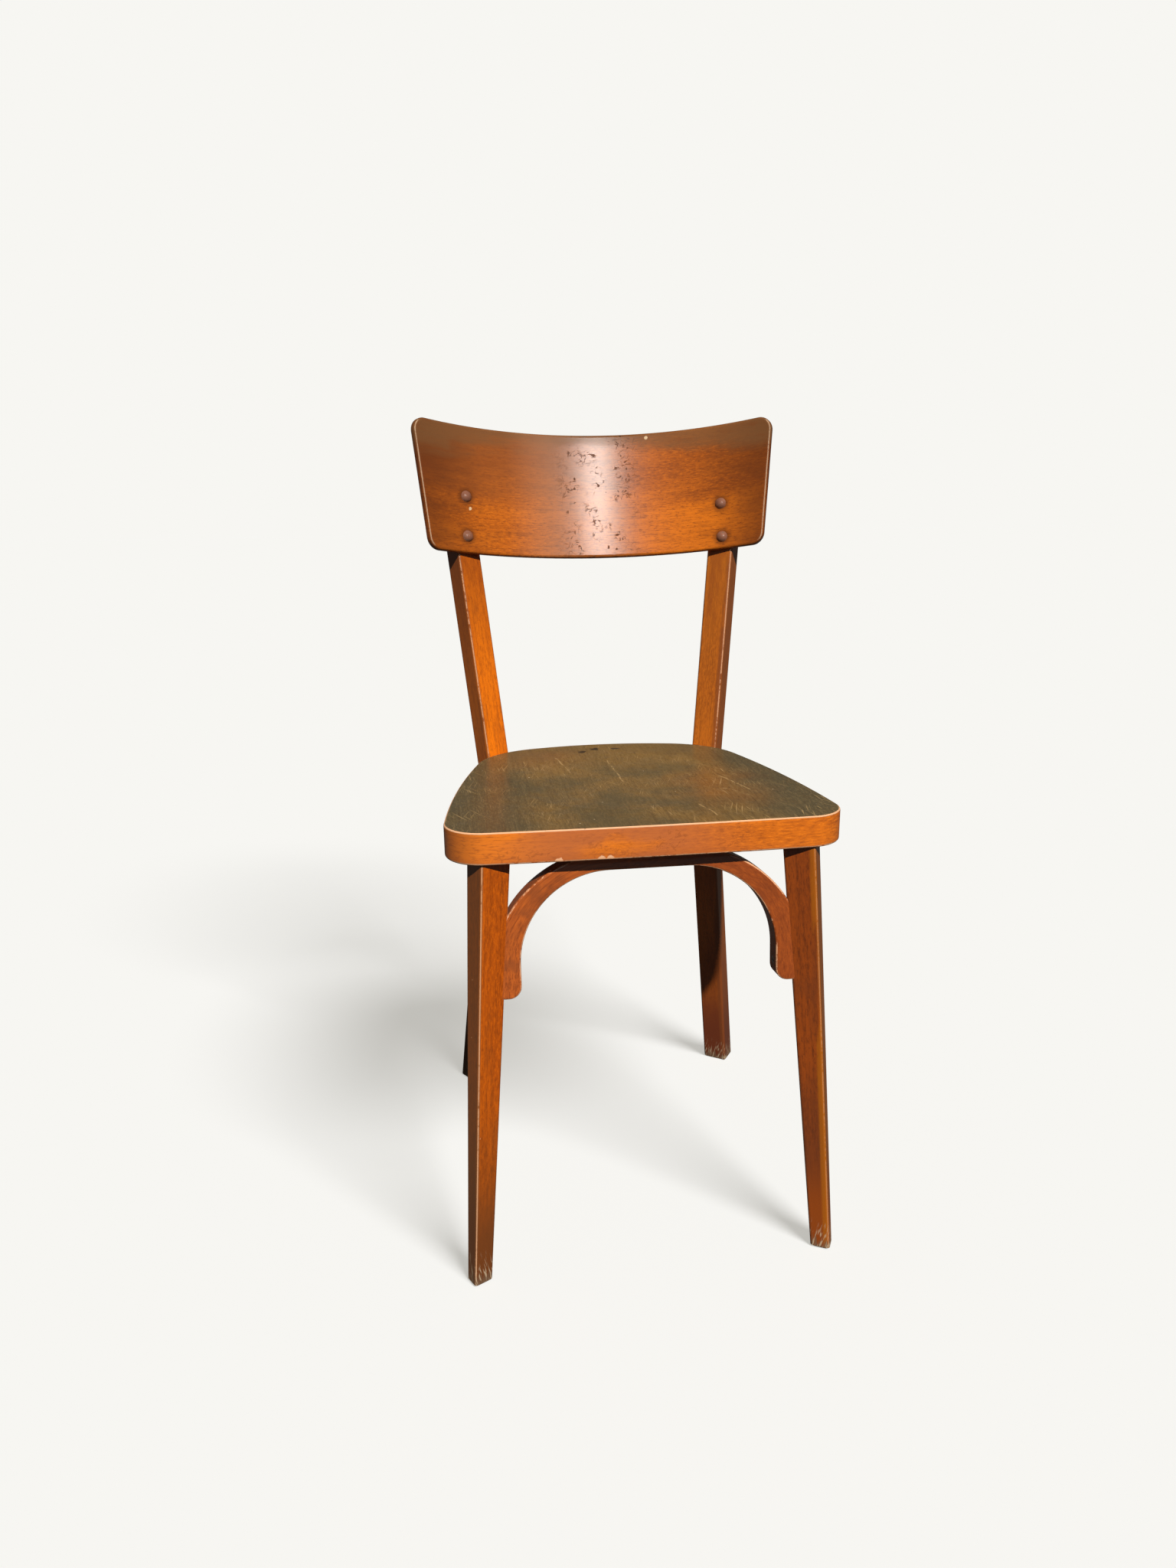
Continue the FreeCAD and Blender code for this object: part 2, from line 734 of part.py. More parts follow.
def main():
    pieces = build()
    whole = group(list(pieces.values())).optimalBoundingBox()
    to_centre = Vector(0, -(whole.YMin + whole.YMax) / 2, 0)
    os.makedirs("parts", exist_ok=True)
    for node, shape in pieces.items():
        placed = shape.copy()
        placed.translate(to_centre)
        placed.exportStep("parts/" + node + ".step")


main()
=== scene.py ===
import math

import bmesh
import bpy
from mathutils import Matrix, Vector

# The look of a worn varnished beech chair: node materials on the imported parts, a pale floor,
# sunlight with a soft fill, and a camera where the photographer stood.
# Metres, +Z up, the chair faces -Y.

# Places on the chair, taken from the part's source
ring_bottom = 0.424
seat_middle_y = -0.0229
back_tilt = math.radians(14.0)
back_axis_y = -0.34344
back_radius = 0.340
back_thickness = 0.009
back_bottom = 0.7859
rivet_arc = 0.1545
rivet_rises_left = (0.0180, 0.0633)
rivet_rises_right = (0.0128, 0.0520)
front_leg_toe = math.radians(28.0)
front_leg_top = (0.1492, -0.1702)
front_leg_splay = (0.0255, -0.0385)
front_leg_half_foot = 0.0099
front_leg_half_top = 0.01565
front_leg_slope = (front_leg_splay[0] / ring_bottom, front_leg_splay[1] / ring_bottom)
rear_leg_toe = math.radians(35.0)
rear_leg_lean = 0.178
rear_leg_knee = 0.405
rear_leg_half = 0.0155
rear_leg_bend = (0.1263, 0.1212)
rear_leg_slope = (rear_leg_lean * math.sin(rear_leg_toe), rear_leg_lean * math.cos(rear_leg_toe))
arch_bend_x = 0.0372
arch_bend_z = 0.321
arch_inner_radius = 0.086

# Where a shade has two numbers, there is none of it at the first and all of it at the second

# Seat: shades, and its patches, stains and long scratches, across and back
seat_amber_y = (-0.02, 0.1)
seat_grey_x = (0.08, 0.15)
seat_pale_line_z = (0.4505, 0.4515)
seat_warm_spots = ((0.098, -0.037), (0.095, -0.095), (-0.074, 0.088))
seat_warm_reach = 0.07
seat_stains = ((-0.009, 0.126), (-0.025, 0.109), (0.015, 0.120))
seat_stain_reach = 0.0085
seat_scratches = (
    ((0.104, -0.020), (0.121, -0.087)),
    ((0.096, -0.079), (0.112, -0.099)),
    ((-0.002, 0.068), (0.003, -0.032)),
    ((0.055, -0.126), (0.066, -0.173)),
    ((-0.061, 0.086), (-0.049, 0.022)),
)
seat_scratch_width = 0.0013

# Band round the seat: the radius that turns an angle into a length, shades, and chips, across and up
band_radius = 0.18
band_rosy_middle = -0.035
band_rosy_reach = (0.15, 0.04)
band_brown_x = (-0.14, -0.187)
band_sooty_z = (0.448, 0.43)
band_front_y = (-0.1, -0.15)
band_chips = ((-0.039, 0.4255), (-0.048, 0.4250), (-0.086, 0.4250))
band_chip_reach = 0.006

# Back: shades and marks, along its curve from the middle and up from its lower edge
back_high_rise = (0.03, 0.11)
back_left_arc = (0.06, -0.08)
back_end_arc = (0.118, 0.215)
back_dust_rise = (0.122, 0.146)
# Pale spread of the gloss to the left of the back's middle: a painted highlight
back_highlight_spread_middle = -0.05
back_highlight_spread_reach = (0.06, 0.0)
back_rubbed_reach = (0.08, 0.02)
back_marks_middle = 0.01
back_marks_reach = (0.06, 0.025)
back_chips = ((0.069, 0.1385), (-0.150, 0.050))
back_chip_reach = 0.0032
# Reach of the dark ring round each rivet, partly stain and partly painted shade
rivet_stain_and_shade_reach = 0.014
back_plies = 5
ply_line_depth = (0.0005, 0.0002)

# Legs: heights of their shades, the painted highlight strip inside the right one's outward edge, and the
# shift that keeps the grain of a pair apart
leg_top_z = (0.5, 0.7)
leg_low_z = (0.34, 0.1)
leg_foot_z = (0.12, 0.04)
leg_less_worn_z = (0.45, 0.42)
leg_bare_z = (0.034, 0.018)
leg_scrape_z = (0.05, 0.03)
leg_highlight_strip = (-0.0075, -0.0045)
leg_rub_fade = 0.1
leg_fleck = 0.5
leg_grain_shift = 3.7

# Arch: its darker right half
arch_dark_x = (-0.02, 0.06)

# Turns, lengths and widths of the fine scratches and of the cracks in the varnish
scratch_kinds = ((-1.05, 0.06, 0.0014), (1.3, 0.05, 0.0013), (1.62, 0.03, 0.0013))
crack_kinds = ((0.0, 0.010, 0.0026), (0.4, 0.007, 0.0019), (1.2, 0.007, 0.0021))

# Varnish: the gloss of its clear coat, and what changes where it is worn off
coat_weight = 0.8
coat_lost_by_wear = 0.75
coat_roughness = 0.27
roughness_from_wear = 0.3
varnish_specular = 0.2

# Relief of the finishes: strengths, and the heights that they are measured against
varnish_relief = 0.12
wedge_relief = 0.2
enamel_relief = 0.25
steel_relief = 0.15
relief_height = 0.0005
steel_relief_height = 0.0004

# How much of a metal's look the dull steel has
steel_metallic = 0.85

# How far each piece's edges are worn bare, from 0 for none of them to 1 for all
seat_edge_wear = 0.66
band_edge_wear = 0.55
back_edge_wear = 0.6
leg_edge_wear = 0.56
arch_edge_wear = 0.52

# Camera, found from the photograph
camera_place = (-0.1742, -1.0708, 0.7293)
camera_yaw = math.radians(7.48)
camera_pitch = math.radians(14.77)
camera_roll = math.radians(-0.74)
focal_pixels = 1340.0
photo_height = 2048.0
film_height = 36.0
sight_end = 100.0

# Light and floor: the key lights the chair and the wash only the floor; the sheen gives gloss alone,
# and the rear fill lights the side that the key leaves dark
page_colour = (0.930, 0.922, 0.888)
key_colour = (1.0, 0.965, 0.91)
key_power = 5.8
key_azimuth = math.radians(6.5)
key_height = math.radians(43.2)
key_softness = math.radians(1.5)
wash_colour = (1.0, 1.0, 1.0)
wash_power = 4.2
wash_azimuth = math.radians(32.0)
wash_height = math.radians(45.0)
wash_softness = math.radians(24.0)
sheen_power = 1.3
sheen_height = math.radians(29.5)
sheen_softness = math.radians(7.0)
rear_power = 2.2
rear_azimuth = math.radians(180.0)
rear_height = math.radians(8.0)
rear_softness = math.radians(30.0)
room_light = 0.07
room_reflection = 0.06
floor_albedo = 0.42
floor_bounce = (0.08, 0.07, 0.06)
floor_half_size = 40.0

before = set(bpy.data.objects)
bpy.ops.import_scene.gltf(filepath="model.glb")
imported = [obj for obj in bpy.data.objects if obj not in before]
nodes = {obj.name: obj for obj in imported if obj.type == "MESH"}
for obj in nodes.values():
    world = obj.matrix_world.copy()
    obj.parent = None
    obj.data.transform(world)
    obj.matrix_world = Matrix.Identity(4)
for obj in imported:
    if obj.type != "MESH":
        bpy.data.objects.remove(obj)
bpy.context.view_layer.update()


class Graph:
    """Short words for adding nodes to a material or group tree."""

    def __init__(self, tree):
        self.tree = tree

    def node(self, kind, inputs=None, **settings):
        made = self.tree.nodes.new(kind)
        for name, value in settings.items():
            setattr(made, name, value)
        for key, value in (inputs or {}).items():
            self.set(made.inputs[key], value)
        return made

    def set(self, socket, value):
        if isinstance(value, bpy.types.NodeSocket):
            self.tree.links.new(value, socket)
        else:
            socket.default_value = value

    def math(self, operation, first, second=0.0, third=0.0):
        made = self.node("ShaderNodeMath", {0: first, 1: second, 2: third}, operation=operation)
        return made.outputs[0]

    def product(self, *factors):
        result = factors[0]
        for factor in factors[1:]:
            result = self.math("MULTIPLY", result, factor)
        return result

    def ramp(self, value, low, high):
        """Smooth step from 0 at low to 1 at high; low may be above high."""
        made = self.node(
            "ShaderNodeMapRange",
            {"Value": value, "From Min": low, "From Max": high},
            interpolation_type="SMOOTHSTEP",
        )
        return made.outputs["Result"]

    def between(self, value, start, full, fading, end):
        """1 from full to fading, falling smoothly to 0 at start and at end."""
        return self.product(self.ramp(value, start, full), self.ramp(value, end, fading))

    def gap(self, value, middle):
        """How far a value is from a middle one."""
        return self.math("ABSOLUTE", self.math("SUBTRACT", value, middle))

    def vector(self, operation, first, second=(0.0, 0.0, 0.0), third=(0.0, 0.0, 0.0)):
        made = self.node("ShaderNodeVectorMath", {0: first, 1: second, 2: third}, operation=operation)
        return made.outputs["Vector"]

    def measure(self, operation, first, second):
        """Distance between two points, or dot product of two directions."""
        made = self.node("ShaderNodeVectorMath", {0: first, 1: second}, operation=operation)
        return made.outputs["Value"]

    def split(self, vector):
        return self.node("ShaderNodeSeparateXYZ", {0: vector}).outputs

    def join(self, x, y, z):
        return self.node("ShaderNodeCombineXYZ", {0: x, 1: y, 2: z}).outputs[0]

    def stretch(self, vector, scale):
        return self.node("ShaderNodeMapping", {"Vector": vector, "Scale": scale}).outputs[0]

    def noise(self, vector, scale, detail=3.0, roughness=0.5, distortion=0.0):
        made = self.node("ShaderNodeTexNoise", {
            "Vector": vector,
            "Scale": scale,
            "Detail": detail,
            "Roughness": roughness,
            "Distortion": distortion,
        })
        return made.outputs["Fac"]

    def wobble(self, vector, scale, reach):
        """Shifts a vector about, by up to half of reach each way."""
        drift = self.node("ShaderNodeTexNoise", {"Vector": vector, "Scale": scale, "Detail": 2.0})
        centred = self.vector("SUBTRACT", drift.outputs["Color"], (0.5, 0.5, 0.5))
        return self.vector("MULTIPLY_ADD", centred, (reach, reach, reach), vector)

    def lines(self, flat, turn, length, width):
        """Noise drawn out along one direction on a flat vector; length and width in metres."""
        turned = self.node(
            "ShaderNodeMapping",
            {"Vector": flat, "Rotation": (0.0, 0.0, turn), "Scale": (length, width, 1.0)},
            vector_type="TEXTURE",
        )
        return self.noise(turned.outputs[0], 1.0, 1.0, 0.4)

    def strokes(self, flat, kinds, low, high):
        """1 on thin strokes of several kinds, each with a turn, a length and a width."""
        marks = 0.0
        for turn, length, width in kinds:
            stroke = self.ramp(self.lines(flat, turn, length, width), low, high)
            marks = self.math("MAXIMUM", marks, stroke)
        return marks

    def dots(self, flat, scale, share, size):
        """Round dots in some of the cells of an irregular grid, of sizes up to size of a cell."""
        cells = self.node("ShaderNodeTexVoronoi", {"Vector": flat, "Scale": scale}).outputs
        chance = self.node("ShaderNodeSeparateColor", {0: cells["Color"]}).outputs[0]
        reach = self.product(self.ramp(chance, 1.0 - share, 1.0), size)
        return self.ramp(self.math("SUBTRACT", reach, cells["Distance"]), 0.0, 0.25 * size)

    def mix(self, share, first, second):
        """Mix of two colours; the node keeps sockets 6, 7 and 2 for them and their mix."""
        made = self.node("ShaderNodeMix", data_type="RGBA")
        self.set(made.inputs[0], share)
        self.set(made.inputs[6], first)
        self.set(made.inputs[7], second)
        return made.outputs[2]

    def paint(self, under, mask, strength, over):
        """Lays one colour over another where the mask is 1, at a strength."""
        return self.mix(self.product(mask, strength), under, over)

    def group(self, tree, inputs):
        made = self.node("ShaderNodeGroup", node_tree=tree)
        for name, value in inputs.items():
            self.set(made.inputs[name], value)
        return made.outputs


def colour(red, green, blue):
    return (red, green, blue, 1.0)


def new_group(name, inputs, outputs):
    """Empty node group with named sockets; returns its tree, its graph, its inputs and its outputs."""
    tree = bpy.data.node_groups.new(name, "ShaderNodeTree")
    for label, kind in inputs:
        tree.interface.new_socket(label, in_out="INPUT", socket_type="NodeSocket" + kind)
    for label in outputs:
        kind = "Vector" if label == "Vector" else "Float"
        tree.interface.new_socket(label, in_out="OUTPUT", socket_type="NodeSocket" + kind)
    graph = Graph(tree)
    entry = graph.node("NodeGroupInput").outputs
    exit_node = graph.node("NodeGroupOutput")
    return tree, graph, entry, exit_node.inputs


def make_grain_group():
    """Beech grain on a vector in metres whose third part runs along the grain."""
    tree, graph, entry, result = new_group(
        "beech_grain", [("Vector", "Vector")], ["Tone", "Streak", "Fleck", "Gleam", "Height"]
    )

    def drawn_out(across, along, detail, roughness, distortion=0.0):
        """Noise with so many waves a metre across the grain and along it."""
        place = graph.stretch(entry["Vector"], (across, across, along))
        return graph.noise(place, 1.0, detail, roughness, distortion)

    tone = drawn_out(16.0, 4.0, 3.0, 0.55, 0.4)
    streak = drawn_out(330.0, 9.0, 3.0, 0.6, 0.1)
    fibre = drawn_out(1300.0, 55.0, 2.0, 0.6)
    dash = drawn_out(560.0, 150.0, 3.0, 0.75)
    both = graph.math("MULTIPLY_ADD", fibre, 0.4, graph.product(streak, 0.6))
    graph.set(result["Tone"], tone)
    graph.set(result["Streak"], both)
    graph.set(result["Fleck"], graph.ramp(dash, 0.5, 0.68))
    graph.set(result["Gleam"], graph.ramp(dash, 0.5, 0.34))
    graph.set(result["Height"], graph.math("MULTIPLY_ADD", dash, -0.3, both))
    return tree


def make_wear_group():
    """Breaks an even edge mask into worn stretches and chips."""
    tree, graph, entry, result = new_group(
        "edge_wear", [("Edge", "Float"), ("Vector", "Vector"), ("Amount", "Float")], ["Mask"]
    )
    broad = graph.noise(entry["Vector"], 16.0, 2.0, 0.5)
    chips = graph.noise(entry["Vector"], 230.0, 3.0, 0.65)
    patch = graph.math("MULTIPLY_ADD", broad, 0.5, graph.product(chips, 0.5))
    need = graph.math("SUBTRACT", 1.0, entry["Amount"])
    worn = graph.ramp(graph.math("SUBTRACT", patch, need), -0.06, 0.06)
    graph.set(result["Mask"], graph.product(worn, entry["Edge"]))
    return tree


def make_scuff_group():
    """Thin scratches, small specks, dark pits and cracks on a flat vector in metres."""
    tree, graph, entry, result = new_group(
        "scuffs", [("Vector", "Vector")], ["Scratch", "Speck", "Pit", "Crack"]
    )
    flat = entry["Vector"]
    scratch = graph.strokes(graph.wobble(flat, 4.0, 0.03), scratch_kinds, 0.65, 0.77)
    scratched = graph.ramp(graph.noise(flat, 14.0, 2.0), 0.42, 0.6)
    crack = graph.strokes(graph.wobble(flat, 130.0, 0.012), crack_kinds, 0.62, 0.68)
    cracked = graph.ramp(graph.noise(flat, 32.0, 2.0), 0.44, 0.58)
    rough = graph.wobble(flat, 240.0, 0.006)
    graph.set(result["Scratch"], graph.product(scratch, scratched))
    graph.set(result["Speck"], graph.dots(flat, 62.0, 0.35, 0.055))
    graph.set(result["Pit"], graph.dots(rough, 105.0, 0.3, 0.26))
    graph.set(result["Crack"], graph.product(crack, cracked))
    return tree


def make_stick_group():
    """Straightens a leaning square leg, with the left leg folded onto the right one.

    Across points outwards and Depth backwards from the leg's axis; Edge is 1 on its rounded long edges.
    """
    numbers = ["Knee", "Slope X", "Slope Y", "Top X", "Top Y", "Sine", "Cosine"]
    inputs = [("Vector", "Vector"), ("Normal", "Vector")] + [(name, "Float") for name in numbers]
    tree, graph, entry, result = new_group(
        "square_stick", inputs, ["Vector", "Across", "Depth", "Right", "Edge", "Outer", "Front"]
    )
    x, y, z = graph.split(entry["Vector"])
    normal = graph.split(entry["Normal"])
    side = graph.math("SIGN", x)

    def turned(across, back):
        """Parts of a level direction along and across the leg's own faces."""
        sine = entry["Sine"]
        cosine = entry["Cosine"]
        outwards = graph.math("SUBTRACT", graph.product(across, cosine), graph.product(back, sine))
        backwards = graph.math("ADD", graph.product(across, sine), graph.product(back, cosine))
        return outwards, backwards

    drop = graph.gap(z, entry["Knee"])
    axis_x = graph.math("MULTIPLY_ADD", drop, entry["Slope X"], entry["Top X"])
    axis_y = graph.math("MULTIPLY_ADD", drop, entry["Slope Y"], entry["Top Y"])
    across, depth = turned(
        graph.math("SUBTRACT", graph.math("ABSOLUTE", x), axis_x), graph.math("SUBTRACT", y, axis_y)
    )
    outwards, backwards = turned(graph.product(normal[0], side), normal[1])
    least = graph.math("MINIMUM", graph.math("ABSOLUTE", outwards), graph.math("ABSOLUTE", backwards))
    along = graph.math("MULTIPLY_ADD", side, leg_grain_shift, z)
    graph.set(result["Vector"], graph.join(across, depth, along))
    graph.set(result["Across"], across)
    graph.set(result["Depth"], depth)
    graph.set(result["Right"], graph.ramp(side, -0.1, 0.1))
    graph.set(result["Edge"], graph.ramp(least, 0.45, 0.66))
    graph.set(result["Outer"], graph.ramp(outwards, 0.1, 0.6))
    graph.set(result["Front"], graph.ramp(backwards, -0.1, -0.6))
    return tree


grain_group = make_grain_group()
wear_group = make_wear_group()
scuff_group = make_scuff_group()
stick_group = make_stick_group()


def new_material(name):
    """Material with one shader; returns it with its graph and shader."""
    material = bpy.data.materials.new(name)
    material.use_nodes = True
    material.node_tree.nodes.clear()
    graph = Graph(material.node_tree)
    shader = graph.node("ShaderNodeBsdfPrincipled")
    graph.node("ShaderNodeOutputMaterial", {"Surface": shader.outputs[0]})
    return material, graph, shader


def surface_place(graph):
    return graph.node("ShaderNodeTexCoord").outputs["Object"]


def surface_normal(graph):
    return graph.node("ShaderNodeNewGeometry").outputs["Normal"]


def wood_colour(graph, grain, dark, middle, light, fleck=0.65):
    """Varnished beech: broad tone, fine streaks and dark ray flecks, whose strength is fleck."""
    base = graph.mix(graph.ramp(grain["Tone"], 0.3, 0.7), middle, light)
    base = graph.paint(base, graph.ramp(grain["Streak"], 0.56, 0.36), 0.42, dark)
    base = graph.paint(base, grain["Gleam"], 0.75, light)
    return graph.paint(base, grain["Fleck"], fleck, dark)


def near_spots(graph, flat, spots, reach):
    """1 at each of a few spots on a flat vector, fading out within reach."""
    nearest = reach
    for spot in spots:
        nearest = graph.math("MINIMUM", nearest, graph.measure("DISTANCE", flat, (*spot, 0.0)))
    return graph.ramp(nearest, reach, 0.0)


def near_lines(graph, flat, ends, width):
    """1 on straight lines between pairs of points on a flat vector."""
    nearest = width
    for start, end in ends:
        first = Vector((*start, 0.0))
        span = Vector((*end, 0.0)) - first
        offset = graph.vector("SUBTRACT", flat, first)
        share = graph.measure("DOT_PRODUCT", offset, span / span.length_squared)
        share = graph.math("MINIMUM", graph.math("MAXIMUM", share, 0.0), 1.0)
        foot = graph.vector("MULTIPLY", graph.join(share, share, share), span)
        nearest = graph.math("MINIMUM", nearest, graph.measure("DISTANCE", offset, foot))
    return graph.ramp(nearest, width, 0.25 * width)


def bump(graph, height, strength, distance):
    made = graph.node("ShaderNodeBump", {"Strength": strength, "Distance": distance, "Height": height})
    return made.outputs["Normal"]


def worn_edge(graph, edge, place, amount):
    """Mask of the worn stretches and chips along an edge mask."""
    return graph.group(wear_group, {"Edge": edge, "Vector": place, "Amount": amount})["Mask"]


def varnish(graph, shader, base, bare, roughness, height):
    """Colour, gloss and relief of varnished wood; bare is where the varnish is worn off."""
    dulled = graph.math("MULTIPLY_ADD", bare, roughness_from_wear, roughness)
    coat = graph.math("MULTIPLY_ADD", bare, -coat_lost_by_wear, coat_weight)
    graph.set(shader.inputs["Base Color"], base)
    graph.set(shader.inputs["Roughness"], dulled)
    graph.set(shader.inputs["Coat Weight"], coat)
    shader.inputs["Coat Roughness"].default_value = coat_roughness
    shader.inputs["Specular IOR Level"].default_value = varnish_specular
    graph.set(shader.inputs["Normal"], bump(graph, height, varnish_relief, relief_height))


def dress(finish, *names):
    for name in names:
        for slot in nodes[name].material_slots:
            slot.material = finish


# Colours that more than one finish uses: the band's dark, middle and light shades, and bare wood
band_shades = (colour(0.23, 0.048, 0.006), colour(0.51, 0.12, 0.008), colour(0.7, 0.18, 0.01))
bare_wood = colour(0.62, 0.34, 0.19)


def band_colour(graph, place):
    """Amber varnish round the side of the seat, rosy along its front and brown at its left corner.

    Returns the colour, the grain, the flat vector round the band and the blush.
    """
    x, y, z = graph.split(place)
    turn = graph.math("ARCTAN2", x, graph.math("SUBTRACT", seat_middle_y, y))
    arc = graph.product(turn, band_radius)
    grain = graph.group(grain_group, {"Vector": graph.join(z, 0.0, arc)})
    flat = graph.join(arc, z, 0.0)
    base = wood_colour(graph, grain, *band_shades)
    blush = graph.noise(graph.stretch(flat, (16.0, 45.0, 1.0)), 1.0)
    stretch = graph.ramp(graph.gap(x, band_rosy_middle), *band_rosy_reach)
    rosy = graph.product(graph.ramp(blush, 0.2, 0.5), stretch)
    base = graph.paint(base, rosy, 0.75, colour(0.35, 0.1, 0.036))
    base = graph.paint(base, graph.ramp(x, *band_brown_x), 0.55, colour(0.17, 0.055, 0.022))
    return base, grain, flat, blush


def seat_top_colour(graph, flat, x, y, grain, cloud):
    """Clouded olive, a painted sheen of the room on the glossier varnish, and brown; amber at the rear,
    grey at the sides and warm in a few patches.
    """
    # Olive where the varnish is glossier: a painted reflection of the room's sheen
    base = graph.mix(cloud, colour(0.098, 0.069, 0.028), colour(0.18, 0.1, 0.027))
    base = graph.paint(base, graph.ramp(y, *seat_amber_y), 0.5, colour(0.205, 0.104, 0.022))
    sides = graph.ramp(graph.math("ABSOLUTE", x), *seat_grey_x)
    base = graph.paint(base, sides, 0.7, colour(0.068, 0.06, 0.034))
    warm = near_spots(graph, graph.wobble(flat, 14.0, 0.09), seat_warm_spots, seat_warm_reach)
    base = graph.paint(base, warm, 0.6, colour(0.21, 0.082, 0.018))
    dark_streak = graph.ramp(grain["Streak"], 0.52, 0.36)
    base = graph.paint(base, dark_streak, 0.4, colour(0.06, 0.034, 0.014))
    pale_streak = graph.ramp(grain["Streak"], 0.54, 0.66)
    base = graph.paint(base, pale_streak, 0.3, colour(0.24, 0.15, 0.065))
    base = graph.paint(base, grain["Fleck"], 0.45, colour(0.055, 0.036, 0.016))
    return graph.paint(base, grain["Gleam"], 0.3, colour(0.24, 0.16, 0.066))


def seat_marks(graph, base, flat):
    """Scratches, pale specks and dark stains on the seat; returns the colour and the scratches."""
    scuffs = graph.group(scuff_group, {"Vector": flat})
    broken = graph.ramp(graph.noise(flat, 110.0, 2.0), 0.35, 0.55)
    bent = graph.wobble(flat, 30.0, 0.006)
    long_scratch = near_lines(graph, bent, seat_scratches, seat_scratch_width)
    scratch = graph.math("MAXIMUM", scuffs["Scratch"], graph.product(long_scratch, broken))
    base = graph.paint(base, scratch, 0.65, colour(0.42, 0.28, 0.12))
    base = graph.paint(base, scuffs["Speck"], 0.9, colour(0.6, 0.48, 0.32))
    stain = near_spots(graph, graph.wobble(flat, 90.0, 0.02), seat_stains, seat_stain_reach)
    base = graph.paint(base, graph.ramp(stain, 0.1, 0.5), 0.85, colour(0.02, 0.012, 0.007))
    return base, scratch


def make_seat_finish():
    material, graph, shader = new_material("worn_seat_top")
    place = surface_place(graph)
    x, y, z = graph.split(place)
    up = graph.split(surface_normal(graph))[2]
    flat = graph.join(x, y, 0.0)
    grain = graph.group(grain_group, {"Vector": graph.join(x, z, y)})
    # The cloud places the painted olive sheen, and a smoother varnish with it
    cloud = graph.ramp(graph.noise(flat, 13.0, 4.0, 0.6), 0.34, 0.66)
    base = seat_top_colour(graph, flat, x, y, grain, cloud)
    base, scratch = seat_marks(graph, base, flat)
    base = graph.mix(graph.ramp(up, 0.5, 0.2), base, band_colour(graph, place)[0])
    rounded = graph.between(up, 0.3, 0.55, 0.9, 0.97)
    edge = graph.product(rounded, graph.ramp(z, *seat_pale_line_z))
    worn = worn_edge(graph, edge, place, seat_edge_wear)
    base = graph.mix(worn, base, bare_wood)
    dull = graph.math("MAXIMUM", worn, graph.math("MULTIPLY_ADD", scratch, 0.3, 0.4))
    roughness = graph.math("MULTIPLY_ADD", cloud, 0.12, 0.42)
    varnish(graph, shader, base, dull, roughness, grain["Height"])
    dress(material, "seat_panel")


def make_band_finish():
    material, graph, shader = new_material("seat_band_varnish")
    place = surface_place(graph)
    x, y, z = graph.split(place)
    up = graph.split(surface_normal(graph))[2]
    base, grain, flat, blush = band_colour(graph, place)
    scuffs = graph.group(scuff_group, {"Vector": flat})
    base = graph.paint(base, scuffs["Crack"], 0.4, colour(0.2, 0.05, 0.012))
    sooty = graph.ramp(graph.math("MULTIPLY_ADD", blush, 0.02, z), *band_sooty_z)
    base = graph.paint(base, sooty, 0.4, colour(0.3, 0.08, 0.02))
    edge = graph.between(up, -0.1, -0.4, -0.9, -0.99)
    worn = worn_edge(graph, edge, place, band_edge_wear)
    base = graph.mix(worn, base, bare_wood)
    ragged = graph.wobble(graph.join(x, z, 0.0), 150.0, 0.006)
    chips = graph.ramp(near_spots(graph, ragged, band_chips, band_chip_reach), 0.15, 0.4)
    base = graph.mix(graph.product(chips, graph.ramp(y, *band_front_y)), base, bare_wood)
    underside = graph.ramp(up, -0.9, -0.98)
    base = graph.paint(base, underside, 0.6, colour(0.14, 0.06, 0.02))
    roughness = graph.math("MULTIPLY_ADD", grain["Streak"], 0.15, 0.34)
    varnish(graph, shader, base, worn, roughness, grain["Height"])
    dress(material, "seat_ring")


def back_frame(graph, place):
    """Place and normal seen from the back's own tilted axis."""
    local = graph.node(
        "ShaderNodeMapping",
        {"Vector": place, "Location": (0.0, back_axis_y, 0.0), "Rotation": (-back_tilt, 0.0, 0.0)},
        vector_type="TEXTURE",
    )
    facing = graph.node(
        "ShaderNodeMapping",
        {"Vector": surface_normal(graph), "Rotation": (back_tilt, 0.0, 0.0)},
        vector_type="VECTOR",
    )
    return local.outputs[0], facing.outputs[0]


